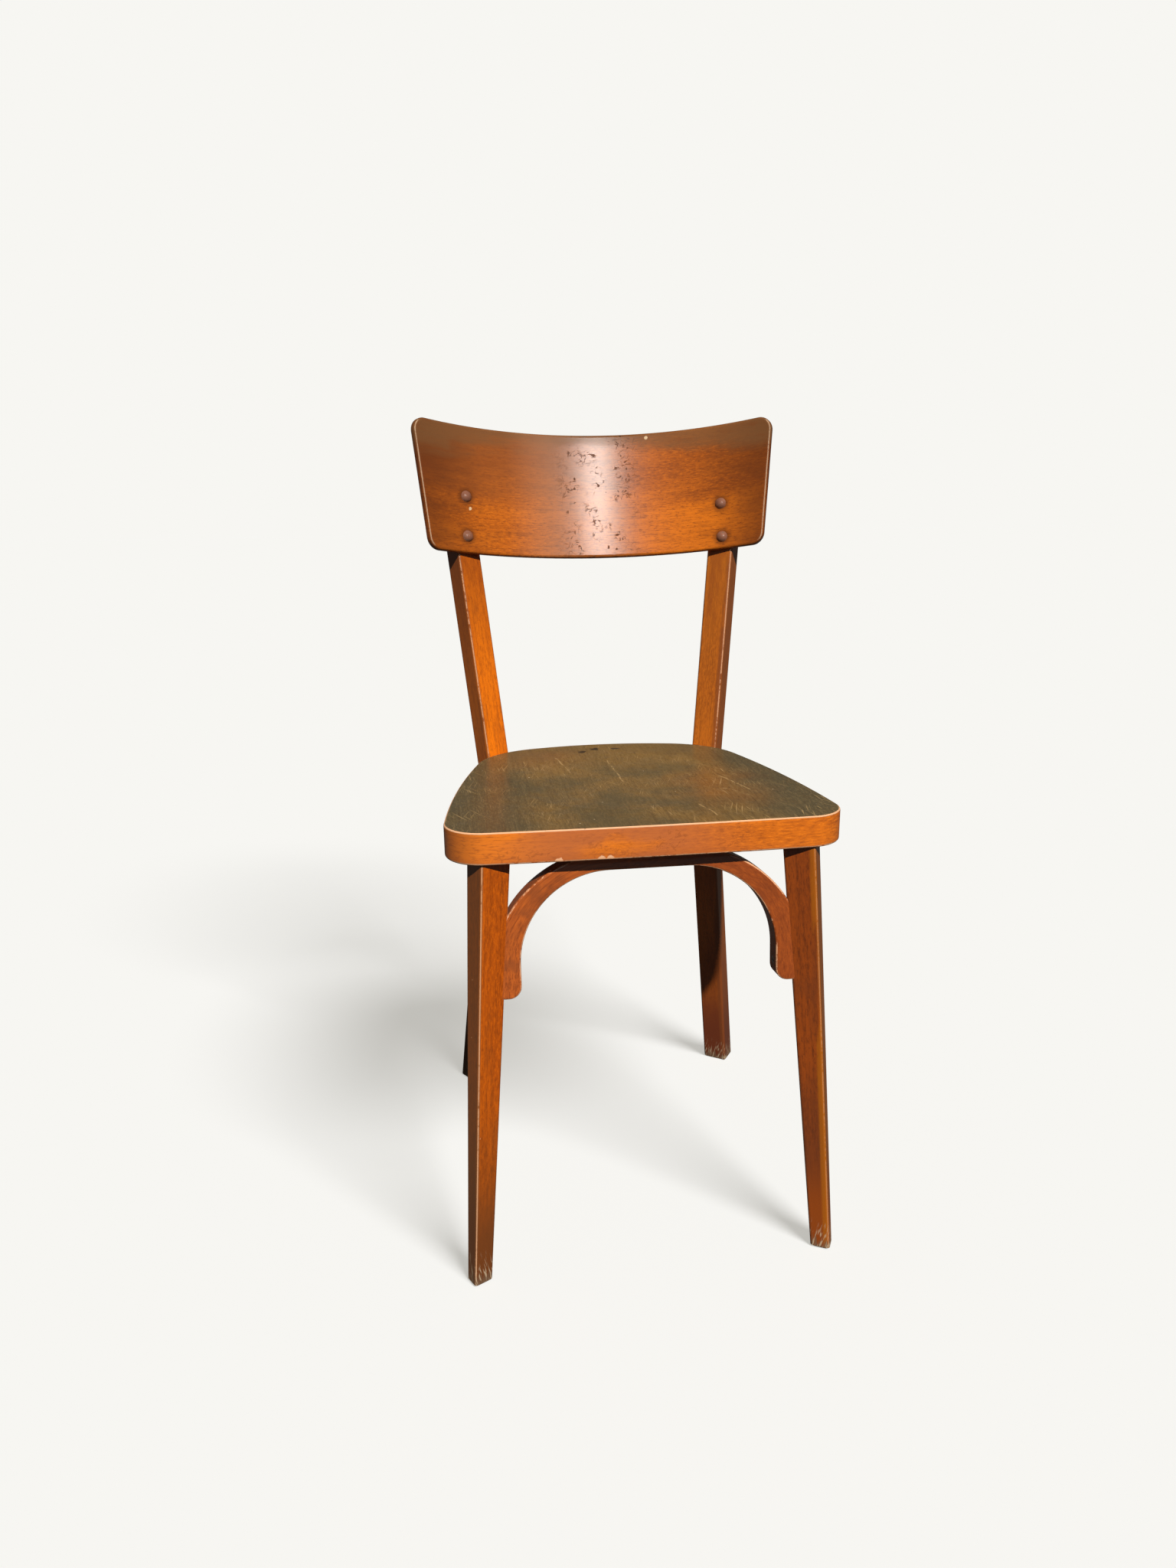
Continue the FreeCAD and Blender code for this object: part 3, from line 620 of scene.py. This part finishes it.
def back_shading(graph, base, flat, arc, rise):
    """Broad shades of the old varnish and a painted highlight spreading left of the middle; returns the
    colour and the dust along the top.
    """
    sway = graph.noise(graph.stretch(flat, (9.0, 34.0, 1.0)), 1.0, 4.0, 0.6)
    sway = graph.math("SUBTRACT", sway, 0.5)
    reach = graph.math("ABSOLUTE", arc)
    high = graph.ramp(graph.math("MULTIPLY_ADD", sway, 0.12, rise), *back_high_rise)
    high = graph.math("MULTIPLY_ADD", high, 0.85, 0.15)
    left = graph.math("MULTIPLY_ADD", graph.ramp(arc, *back_left_arc), 0.5, 0.3)
    base = graph.mix(graph.product(high, left), base, colour(0.165, 0.046, 0.012))
    ends = graph.ramp(graph.math("MULTIPLY_ADD", sway, 0.09, reach), *back_end_arc)
    base = graph.paint(base, ends, 0.75, colour(0.085, 0.021, 0.005))
    lift = graph.math("MULTIPLY_ADD", reach, 0.09, graph.math("MULTIPLY_ADD", sway, 0.05, rise))
    dust = graph.product(graph.ramp(lift, *back_dust_rise), 0.8)
    base = graph.mix(dust, base, colour(0.135, 0.06, 0.022))
    mottle = graph.noise(graph.stretch(flat, (26.0, 70.0, 1.0)), 1.0, 3.0, 0.6)
    base = graph.paint(base, graph.ramp(mottle, 0.5, 0.7), 0.35, colour(0.14, 0.034, 0.007))
    # Painted highlight: a pale pinkish spread that widens the gloss to the left of the middle
    painted_highlight_spread = graph.ramp(graph.gap(arc, back_highlight_spread_middle), *back_highlight_spread_reach)
    base = graph.paint(base, painted_highlight_spread, 0.3, colour(0.36, 0.18, 0.1))
    rubbed = graph.ramp(reach, *back_rubbed_reach)
    base = graph.paint(base, rubbed, 0.35, colour(0.1, 0.045, 0.02))
    return base, dust


def back_marks(graph, base, flat, arc, front):
    """Dark marks down the middle, dark rings round the rivets that are partly stain and partly painted
    shade, and pale chips.

    Returns the colour and the dark marks.
    """
    scuffs = graph.group(scuff_group, {"Vector": flat})
    before = graph.ramp(front, 0.0, 0.3)
    middle = graph.ramp(graph.gap(arc, back_marks_middle), *back_marks_reach)
    middle = graph.math("MULTIPLY_ADD", middle, 0.94, 0.06)
    pits = graph.product(graph.math("MAXIMUM", scuffs["Pit"], scuffs["Crack"]), middle, before)
    base = graph.paint(base, pits, 0.78, colour(0.045, 0.018, 0.008))
    rivets = [(-rivet_arc, height) for height in rivet_rises_left]
    rivets += [(rivet_arc, height) for height in rivet_rises_right]
    # Dark ring round each rivet head: partly a stain, partly painted shade
    stain = graph.product(near_spots(graph, flat, rivets, rivet_stain_and_shade_reach), 1.2)
    base = graph.mix(graph.math("MINIMUM", stain, 0.7), base, colour(0.05, 0.014, 0.004))
    ragged = graph.wobble(flat, 200.0, 0.003)
    chips = graph.ramp(near_spots(graph, ragged, back_chips, back_chip_reach), 0.2, 0.5)
    base = graph.mix(graph.product(chips, before), base, colour(0.5, 0.36, 0.22))
    return base, pits


def back_edges(graph, base, place, level_place, facing, outwards, front):
    """Rubbed front rims at both ends and the plies on the edges; returns the colour and the wear."""
    rim = graph.between(front, 0.62, 0.74, 0.88, 0.95)
    upright = graph.math("ABSOLUTE", graph.split(facing)[2])
    along = graph.vector("CROSS_PRODUCT", outwards, (0.0, 0.0, 1.0))
    sideways = graph.math("ABSOLUTE", graph.measure("DOT_PRODUCT", facing, along))
    end_rim = graph.product(rim, graph.ramp(graph.math("SUBTRACT", sideways, upright), -0.2, 0.1))
    worn = worn_edge(graph, end_rim, place, back_edge_wear)
    base = graph.paint(base, worn, 0.7, colour(0.4, 0.27, 0.17))
    radius = graph.measure("DISTANCE", level_place, (0.0, 0.0, 0.0))
    depth = graph.math("SUBTRACT", radius, back_radius)
    plies = graph.math("PINGPONG", depth, back_thickness / back_plies)
    on_edge = graph.ramp(graph.math("ABSOLUTE", front), 0.35, 0.1)
    ply_line = graph.product(graph.ramp(plies, *ply_line_depth), on_edge)
    base = graph.paint(base, ply_line, 0.5, colour(0.05, 0.018, 0.007))
    return base, worn


def make_back_finish():
    material, graph, shader = new_material("glossy_back_varnish")
    place = surface_place(graph)
    local, facing = back_frame(graph, place)
    x, y, z = graph.split(local)
    arc = graph.product(graph.math("ARCTAN2", x, y), back_radius)
    rise = graph.math("SUBTRACT", z, back_bottom)
    flat = graph.join(arc, rise, 0.0)
    level_place = graph.join(x, y, 0.0)
    outwards = graph.vector("NORMALIZE", level_place)
    front = graph.product(graph.measure("DOT_PRODUCT", facing, outwards), -1.0)
    grain = graph.group(grain_group, {"Vector": graph.join(z, 0.0, arc)})
    shades = (colour(0.11, 0.022, 0.003), colour(0.32, 0.07, 0.004), colour(0.54, 0.134, 0.006))
    base = wood_colour(graph, grain, *shades)
    base, dust = back_shading(graph, base, flat, arc, rise)
    base, pits = back_marks(graph, base, flat, arc, front)
    base, worn = back_edges(graph, base, place, level_place, facing, outwards, front)
    dull = graph.math("MAXIMUM", graph.math("MAXIMUM", worn, pits), graph.product(dust, 0.6))
    roughness = graph.math("MULTIPLY_ADD", grain["Streak"], 0.12, 0.3)
    height = graph.math("MULTIPLY_ADD", pits, -2.0, grain["Height"])
    varnish(graph, shader, base, dull, roughness, height)
    dress(material, "backrest")


# Colours of each leg, the faces in dark, middle and light shades; the colour for the outward faces is
# painted light: painted shade on three legs, a painted highlight on the right front one
left_front_colours = {
    "faces": (colour(0.14, 0.025, 0.002), colour(0.325, 0.06, 0.002), colour(0.48, 0.095, 0.002)),
    "outer_painted_light": colour(0.1, 0.05, 0.018),
    "top": colour(0.325, 0.06, 0.002),
    "low": colour(0.115, 0.033, 0.006),
    "foot": colour(0.11, 0.033, 0.008),
}
right_front_colours = {
    "faces": (colour(0.06, 0.013, 0.004), colour(0.158, 0.032, 0.005), colour(0.235, 0.047, 0.005)),
    "outer_painted_light": colour(0.3, 0.085, 0.004),
    "top": colour(0.17, 0.03, 0.004),
    "low": colour(0.085, 0.024, 0.009),
    "foot": colour(0.25, 0.05, 0.003),
}
left_rear_colours = {
    "faces": (colour(0.22, 0.042, 0.003), colour(0.53, 0.11, 0.003), colour(0.68, 0.155, 0.003)),
    "outer_painted_light": colour(0.1, 0.034, 0.012),
    "top": colour(0.17, 0.036, 0.005),
    "low": colour(0.085, 0.024, 0.008),
    "foot": colour(0.08, 0.026, 0.01),
}
right_rear_colours = {
    "faces": (colour(0.14, 0.035, 0.005), colour(0.31, 0.078, 0.008), colour(0.43, 0.115, 0.009)),
    "outer_painted_light": colour(0.17, 0.046, 0.012),
    "top": colour(0.36, 0.104, 0.01),
    "low": colour(0.13, 0.025, 0.008),
    "foot": colour(0.11, 0.024, 0.009),
}


def leg_line(knee, slope, top, toe):
    """Numbers that tell the square stick group where a pair of legs runs."""
    return {
        "Knee": knee,
        "Slope X": slope[0],
        "Slope Y": slope[1],
        "Top X": top[0],
        "Top Y": top[1],
        "Sine": math.sin(toe),
        "Cosine": math.cos(toe),
    }


def leg_colour(graph, stick, grain, z, half_width, left, right):
    """Shades of a pair of legs from top to foot, painted light on their outward faces, and a painted
    highlight strip up the right one's front.
    """
    blotch = graph.noise(graph.stretch(stick["Vector"], (45.0, 45.0, 9.0)), 1.0, 3.0, 0.6)
    outer_painted_light, top, low, foot = [
        graph.mix(stick["Right"], left[part], right[part]) for part in ("outer_painted_light", "top", "low", "foot")
    ]
    left_faces = wood_colour(graph, grain, *left["faces"], leg_fleck)
    right_faces = wood_colour(graph, grain, *right["faces"], leg_fleck)
    base = graph.mix(stick["Right"], left_faces, right_faces)
    base = graph.paint(base, graph.ramp(z, *leg_top_z), 0.6, top)
    lower = graph.ramp(graph.math("MULTIPLY_ADD", blotch, 0.2, z), *leg_low_z)
    base = graph.paint(base, lower, 0.9, low)
    base = graph.paint(base, graph.ramp(blotch, 0.55, 0.7), 0.4, low)
    # Outward faces get painted light: darker for painted shade, amber on the right front leg for a
    # painted highlight
    base = graph.paint(base, stick["Outer"], 0.65, outer_painted_light)
    base = graph.paint(base, graph.ramp(z, *leg_foot_z), 0.7, foot)
    # Strip inside the right leg's front edge on its outward side: a painted highlight
    highlight_strip = graph.ramp(graph.math("SUBTRACT", stick["Across"], half_width), *leg_highlight_strip)
    highlight_strip = graph.product(highlight_strip, stick["Right"], stick["Front"], graph.ramp(blotch, 0.62, 0.45))
    return graph.paint(base, highlight_strip, 0.75, outer_painted_light)


def leg_edge(graph, stick, z, rubbed_from):
    """Mask of a leg's long edges, mostly the front ones, from a height up; less low on the right leg."""
    rubbed = graph.ramp(z, rubbed_from - leg_rub_fade, rubbed_from)
    edge = graph.product(stick["Edge"], graph.math("MULTIPLY_ADD", stick["Front"], 0.8, 0.2), rubbed)
    kept = graph.product(stick["Right"], graph.ramp(z, *leg_less_worn_z), 0.6)
    return graph.product(edge, graph.math("SUBTRACT", 1.0, kept))


def scraped_foot(graph, base, flat, z):
    """Ragged bare end and pale scrapes of a foot; returns the colour and where it is bare."""
    ragged = graph.math("MULTIPLY_ADD", graph.lines(flat, 1.57, 0.02, 0.0025), 0.035, z)
    bare = graph.ramp(ragged, *leg_bare_z)
    base = graph.paint(base, bare, 0.85, colour(0.12, 0.075, 0.045))
    scrape = graph.ramp(graph.lines(flat, 1.3, 0.012, 0.0017), 0.53, 0.66)
    scrape = graph.product(graph.ramp(ragged, *leg_scrape_z), scrape)
    base = graph.paint(base, scrape, 0.7, colour(0.42, 0.32, 0.21))
    return base, graph.math("MAXIMUM", bare, scrape)


def make_leg_finish(name, line, half_top, half_foot, left, right, rubbed_from, *pieces):
    """Varnish of a pair of square legs, whose edges are rubbed bare from a height up."""
    material, graph, shader = new_material(name)
    place = surface_place(graph)
    z = graph.split(place)[2]
    stick = graph.group(stick_group, {"Vector": place, "Normal": surface_normal(graph), **line})
    grain = graph.group(grain_group, {"Vector": stick["Vector"]})
    around = graph.math("ADD", stick["Across"], stick["Depth"])
    flat = graph.join(around, graph.split(stick["Vector"])[2], 0.0)
    scuffs = graph.group(scuff_group, {"Vector": flat})
    half_width = graph.math("MULTIPLY_ADD", z, (half_top - half_foot) / ring_bottom, half_foot)
    base = leg_colour(graph, stick, grain, z, half_width, left, right)
    base = graph.paint(base, scuffs["Speck"], 0.5, bare_wood)
    worn = worn_edge(graph, leg_edge(graph, stick, z, rubbed_from), place, leg_edge_wear)
    base = graph.paint(base, worn, 0.65, bare_wood)
    base, bare_foot = scraped_foot(graph, base, flat, z)
    dull = graph.math("MAXIMUM", worn, bare_foot)
    roughness = graph.math("MULTIPLY_ADD", grain["Streak"], 0.15, 0.32)
    varnish(graph, shader, base, dull, roughness, grain["Height"])
    dress(material, *pieces)


def along_arch(graph, x, y, z):
    """Vector across the bent stick of the arch, through it and along it."""
    out = graph.math("MAXIMUM", graph.math("SUBTRACT", graph.math("ABSOLUTE", x), arch_bend_x), 0.0)
    up = graph.math("MAXIMUM", graph.math("SUBTRACT", z, arch_bend_z), 0.0)
    reach = graph.measure("DISTANCE", graph.join(out, up, 0.0), (0.0, 0.0, 0.0))
    turn = graph.product(graph.math("ARCTAN2", up, out), arch_inner_radius)
    low = graph.math("MINIMUM", z, arch_bend_z)
    ends = graph.math("SUBTRACT", low, graph.math("MINIMUM", x, arch_bend_x))
    return graph.join(reach, y, graph.math("ADD", turn, ends))


def make_arch_finish():
    material, graph, shader = new_material("arch_varnish")
    place = surface_place(graph)
    x, y, z = graph.split(place)
    grain = graph.group(grain_group, {"Vector": along_arch(graph, x, y, z)})
    shades = (colour(0.12, 0.025, 0.006), colour(0.29, 0.063, 0.011), colour(0.42, 0.096, 0.013))
    base = wood_colour(graph, grain, *shades)
    blotch = graph.ramp(graph.noise(place, 40.0, 3.0, 0.6), 0.5, 0.7)
    base = graph.paint(base, blotch, 0.5, colour(0.13, 0.035, 0.012))
    base = graph.paint(base, graph.ramp(x, *arch_dark_x), 0.5, colour(0.15, 0.028, 0.005))
    across = graph.math("ABSOLUTE", graph.split(surface_normal(graph))[1])
    edge = graph.between(across, 0.15, 0.4, 0.9, 0.97)
    worn = worn_edge(graph, edge, place, arch_edge_wear)
    base = graph.paint(base, worn, 0.8, bare_wood)
    roughness = graph.math("MULTIPLY_ADD", grain["Streak"], 0.15, 0.36)
    varnish(graph, shader, base, worn, roughness, grain["Height"])
    dress(material, "front_arch")


def make_wedge_finish():
    material, graph, shader = new_material("bare_wedge")
    grain = graph.group(grain_group, {"Vector": surface_place(graph)})
    shades = (colour(0.2, 0.1, 0.05), colour(0.36, 0.2, 0.1), colour(0.45, 0.27, 0.14))
    graph.set(shader.inputs["Base Color"], wood_colour(graph, grain, *shades))
    graph.set(shader.inputs["Roughness"], graph.math("MULTIPLY_ADD", grain["Streak"], 0.2, 0.55))
    graph.set(shader.inputs["Normal"], bump(graph, grain["Height"], wedge_relief, relief_height))
    dress(material, "front_leg_wedges")


def make_brown_metal_finish():
    material, graph, shader = new_material("brown_enamel")
    place = surface_place(graph)
    spots = graph.noise(place, 420.0, 4.0, 0.6)
    rubbed = graph.ramp(spots, 0.58, 0.75)
    cloud = graph.noise(place, 160.0, 2.0)
    base = graph.mix(cloud, colour(0.12, 0.045, 0.026), colour(0.25, 0.11, 0.07))
    graph.set(shader.inputs["Base Color"], graph.mix(rubbed, base, colour(0.3, 0.2, 0.14)))
    graph.set(shader.inputs["Metallic"], graph.product(rubbed, 0.7))
    graph.set(shader.inputs["Roughness"], graph.math("MULTIPLY_ADD", spots, 0.25, 0.22))
    graph.set(shader.inputs["Normal"], bump(graph, spots, enamel_relief, relief_height))
    dress(material, "rear_leg_bolts", "backrest_rivets")


def make_steel_finish():
    material, graph, shader = new_material("dull_steel")
    stain = graph.noise(surface_place(graph), 260.0, 4.0, 0.6)
    rust = graph.ramp(stain, 0.5, 0.75)
    base = graph.mix(rust, colour(0.4, 0.38, 0.36), colour(0.16, 0.09, 0.05))
    graph.set(shader.inputs["Base Color"], base)
    shader.inputs["Metallic"].default_value = steel_metallic
    graph.set(shader.inputs["Roughness"], graph.math("MULTIPLY_ADD", stain, 0.4, 0.25))
    graph.set(shader.inputs["Normal"], bump(graph, stain, steel_relief, steel_relief_height))
    dress(material, "rear_leg_washers", "rear_leg_nuts", "backrest_rivet_washers")
    dress(material, "arch_end_screws", "arch_crown_screws")


def make_floor():
    """Pale floor of the page's colour, with faint shadows, that throws little light back up."""
    mesh = bpy.data.meshes.new("floor")
    form = bmesh.new()
    bmesh.ops.create_grid(form, x_segments=1, y_segments=1, size=floor_half_size)
    form.to_mesh(mesh)
    form.free()
    floor = bpy.data.objects.new("floor", mesh)
    bpy.context.scene.collection.objects.link(floor)
    material, graph, shader = new_material("pale_floor")
    lit = floor_albedo * (wash_power * math.sin(wash_height) / math.pi + room_light)
    seen = graph.node("ShaderNodeLightPath").outputs["Is Camera Ray"]
    plain = colour(*[floor_albedo] * 3)
    graph.set(shader.inputs["Base Color"], graph.mix(seen, colour(*floor_bounce), plain))
    glow = colour(*[page - lit for page in page_colour])
    graph.set(shader.inputs["Emission Color"], graph.mix(seen, colour(0.0, 0.0, 0.0), glow))
    shader.inputs["Emission Strength"].default_value = 1.0
    shader.inputs["Roughness"].default_value = 1.0
    shader.inputs["Specular IOR Level"].default_value = 0.0
    mesh.materials.append(material)
    return floor


def make_lamp(name, power, tint, azimuth, height, softness):
    """Distant lamp at two angles: azimuth from the chair's front to its right, and height."""
    lamp = bpy.data.lights.new(name, "SUN")
    lamp.energy = power
    lamp.color = tint
    lamp.angle = softness
    stand = bpy.data.objects.new(name, lamp)
    level = math.cos(height)
    towards = Vector((math.sin(azimuth) * level, -math.cos(azimuth) * level, math.sin(height)))
    stand.rotation_euler = towards.to_track_quat("Z", "Y").to_euler()
    bpy.context.scene.collection.objects.link(stand)
    return stand


def light_floor(stand, floor, state):
    """Sets whether a lamp lights the floor alone (INCLUDE) or all but the floor (EXCLUDE)."""
    lit = bpy.data.collections.new(stand.name + "_reach")
    lit.objects.link(floor)
    lit.collection_objects[0].light_linking.link_state = state
    stand.light_linking.receiver_collection = lit


def make_light(floor):
    world = bpy.data.worlds.new("soft_room")
    world.use_nodes = True
    graph = Graph(world.node_tree)
    back = world.node_tree.nodes["Background"]
    rays = graph.node("ShaderNodeLightPath").outputs
    room = graph.mix(rays["Is Glossy Ray"], colour(*[room_light] * 3), colour(*[room_reflection] * 3))
    graph.set(back.inputs["Color"], graph.mix(rays["Is Camera Ray"], room, colour(*page_colour)))
    bpy.context.scene.world = world
    key = make_lamp("key", key_power, key_colour, key_azimuth, key_height, key_softness)
    light_floor(key, floor, "EXCLUDE")
    wash = make_lamp("floor_wash", wash_power, wash_colour, wash_azimuth, wash_height, wash_softness)
    light_floor(wash, floor, "INCLUDE")
    sheen = make_lamp("sheen", sheen_power, key_colour, key_azimuth, sheen_height, sheen_softness)
    light_floor(sheen, floor, "EXCLUDE")
    sheen.visible_diffuse = False
    rear = make_lamp("rear_fill", rear_power, key_colour, rear_azimuth, rear_height, rear_softness)
    light_floor(rear, floor, "EXCLUDE")
    for lamp in (key, rear):
        lamp.visible_glossy = False
    bpy.context.scene.view_settings.view_transform = "Standard"


def make_camera():
    lens = bpy.data.cameras.new("camera")
    lens.sensor_fit = "VERTICAL"
    lens.sensor_height = film_height
    lens.lens = focal_pixels / photo_height * film_height
    lens.clip_end = sight_end
    forward = Vector((
        math.sin(camera_yaw) * math.cos(camera_pitch),
        math.cos(camera_yaw) * math.cos(camera_pitch),
        -math.sin(camera_pitch),
    ))
    right = Vector((math.cos(camera_yaw), -math.sin(camera_yaw), 0.0))
    up = right.cross(forward)
    turned_right = right * math.cos(camera_roll) + up * math.sin(camera_roll)
    turned_up = up * math.cos(camera_roll) - right * math.sin(camera_roll)
    camera = bpy.data.objects.new("camera", lens)
    axes = Matrix((turned_right, turned_up, -forward)).transposed()
    camera.matrix_world = Matrix.Translation(Vector(camera_place)) @ axes.to_4x4()
    bpy.context.scene.collection.objects.link(camera)
    bpy.context.scene.camera = camera


make_seat_finish()
make_band_finish()
make_back_finish()
make_leg_finish(
    "front_leg_varnish",
    leg_line(ring_bottom, front_leg_slope, front_leg_top, front_leg_toe),
    front_leg_half_top, front_leg_half_foot, left_front_colours, right_front_colours, 0.0,
    "front_leg_right", "front_leg_left",
)
make_leg_finish(
    "rear_leg_varnish",
    leg_line(rear_leg_knee, rear_leg_slope, rear_leg_bend, rear_leg_toe),
    rear_leg_half, rear_leg_half, left_rear_colours, right_rear_colours, ring_bottom,
    "rear_leg_right", "rear_leg_left",
)
make_arch_finish()
make_wedge_finish()
make_brown_metal_finish()
make_steel_finish()
make_light(make_floor())
make_camera()
